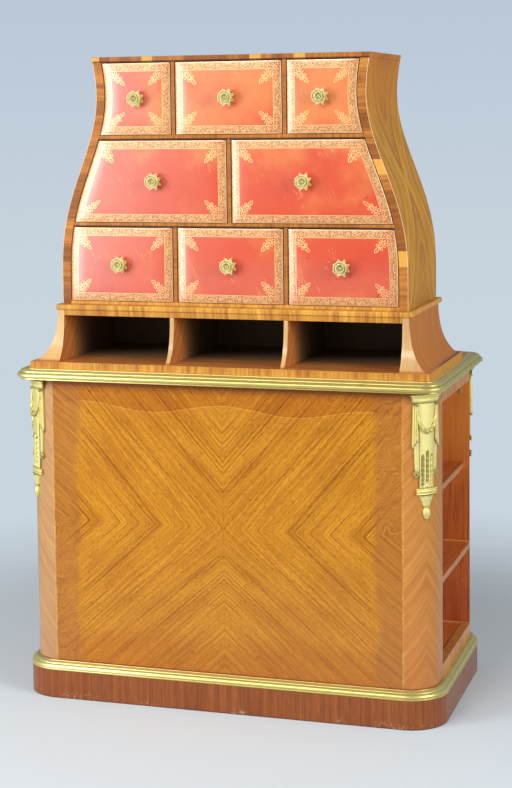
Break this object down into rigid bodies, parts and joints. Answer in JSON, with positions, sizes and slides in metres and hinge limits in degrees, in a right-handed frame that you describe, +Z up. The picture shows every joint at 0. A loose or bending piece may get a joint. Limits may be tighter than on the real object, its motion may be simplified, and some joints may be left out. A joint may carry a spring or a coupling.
{
  "type": "cartonnier",
  "caption": "Cartonnier: veneered low cabinet with open shelved ends, brass mounts and moulding, carrying pigeonholes and an S-sided case of tooled leather drawers.",
  "frame": {"origin": "on the floor under the middle of the low cabinet", "axes": "+X to the right seen from the front, -Y to the front, +Z up"},
  "size_m": [1.018, 0.552, 1.495],
  "materials": {
    "veneer": "polished quarter veneer",
    "plinth_veneer": "polished veneer",
    "inside_wood": "polished",
    "top_veneer": "polished veneer",
    "case_veneer": "cross-banded veneer",
    "back_wood": "plain",
    "brass": "gilt, burnished",
    "drawer_wood": "planed",
    "red_leather": "gilt-tooled",
    "gilt_knob": "gilt"
  },
  "bodies": {
    "cabinet": {"front_panel": "veneer", "back_panel": "veneer", "front_left_post": "veneer", "front_right_post": "veneer", "back_left_post": "veneer", "back_right_post": "veneer", "plinth": "plinth_veneer", "bottom_board": "inside_wood", "centre_partition": "inside_wood", "left_shelves": "inside_wood", "right_shelves": "inside_wood", "side_rails": "inside_wood", "pigeonhole_back": "inside_wood", "base_top": "top_veneer", "pigeonhole_floor": "top_veneer", "ledge": "top_veneer", "pigeonhole_top": "top_veneer", "case_left_side": "case_veneer", "case_right_side": "case_veneer", "case_top": "case_veneer", "case_bottom": "case_veneer", "dust_boards": "case_veneer", "upper_row_dividers": "case_veneer", "middle_row_dividers": "case_veneer", "lower_row_dividers": "case_veneer", "pigeonhole_left_side": "case_veneer", "pigeonhole_right_side": "case_veneer", "pigeonhole_dividers": "case_veneer", "case_back": "back_wood", "plinth_band": "brass", "top_moulding": "brass", "shelf_catches": "brass", "front_left_mount": "brass", "front_right_mount": "brass", "back_left_mount": "brass", "back_right_mount": "brass"},
    "upper_left_drawer": {"upper_left_drawer_box": "drawer_wood", "upper_left_drawer_leather": "red_leather", "upper_left_drawer_knob": "gilt_knob"},
    "upper_centre_drawer": {"upper_centre_drawer_box": "drawer_wood", "upper_centre_drawer_leather": "red_leather", "upper_centre_drawer_knob": "gilt_knob"},
    "upper_right_drawer": {"upper_right_drawer_box": "drawer_wood", "upper_right_drawer_leather": "red_leather", "upper_right_drawer_knob": "gilt_knob"},
    "middle_left_drawer": {"middle_left_drawer_box": "drawer_wood", "middle_left_drawer_leather": "red_leather", "middle_left_drawer_knob": "gilt_knob"},
    "middle_right_drawer": {"middle_right_drawer_box": "drawer_wood", "middle_right_drawer_leather": "red_leather", "middle_right_drawer_knob": "gilt_knob"},
    "lower_left_drawer": {"lower_left_drawer_box": "drawer_wood", "lower_left_drawer_leather": "red_leather", "lower_left_drawer_knob": "gilt_knob"},
    "lower_centre_drawer": {"lower_centre_drawer_box": "drawer_wood", "lower_centre_drawer_leather": "red_leather", "lower_centre_drawer_knob": "gilt_knob"},
    "lower_right_drawer": {"lower_right_drawer_box": "drawer_wood", "lower_right_drawer_leather": "red_leather", "lower_right_drawer_knob": "gilt_knob"}
  },
  "joints": [
    {"name": "upper_left_drawer_slide", "type": "slide", "parent": "cabinet", "child": "upper_left_drawer", "axis": [0, -1, 0], "range_m": [0, 0.2]},
    {"name": "upper_centre_drawer_slide", "type": "slide", "parent": "cabinet", "child": "upper_centre_drawer", "axis": [0, -1, 0], "range_m": [0, 0.2]},
    {"name": "upper_right_drawer_slide", "type": "slide", "parent": "cabinet", "child": "upper_right_drawer", "axis": [0, -1, 0], "range_m": [0, 0.2]},
    {"name": "middle_left_drawer_slide", "type": "slide", "parent": "cabinet", "child": "middle_left_drawer", "axis": [0, -1, 0], "range_m": [0, 0.2]},
    {"name": "middle_right_drawer_slide", "type": "slide", "parent": "cabinet", "child": "middle_right_drawer", "axis": [0, -1, 0], "range_m": [0, 0.2]},
    {"name": "lower_left_drawer_slide", "type": "slide", "parent": "cabinet", "child": "lower_left_drawer", "axis": [0, -1, 0], "range_m": [0, 0.2]},
    {"name": "lower_centre_drawer_slide", "type": "slide", "parent": "cabinet", "child": "lower_centre_drawer", "axis": [0, -1, 0], "range_m": [0, 0.2]},
    {"name": "lower_right_drawer_slide", "type": "slide", "parent": "cabinet", "child": "lower_right_drawer", "axis": [0, -1, 0], "range_m": [0, 0.2]}
  ]
}
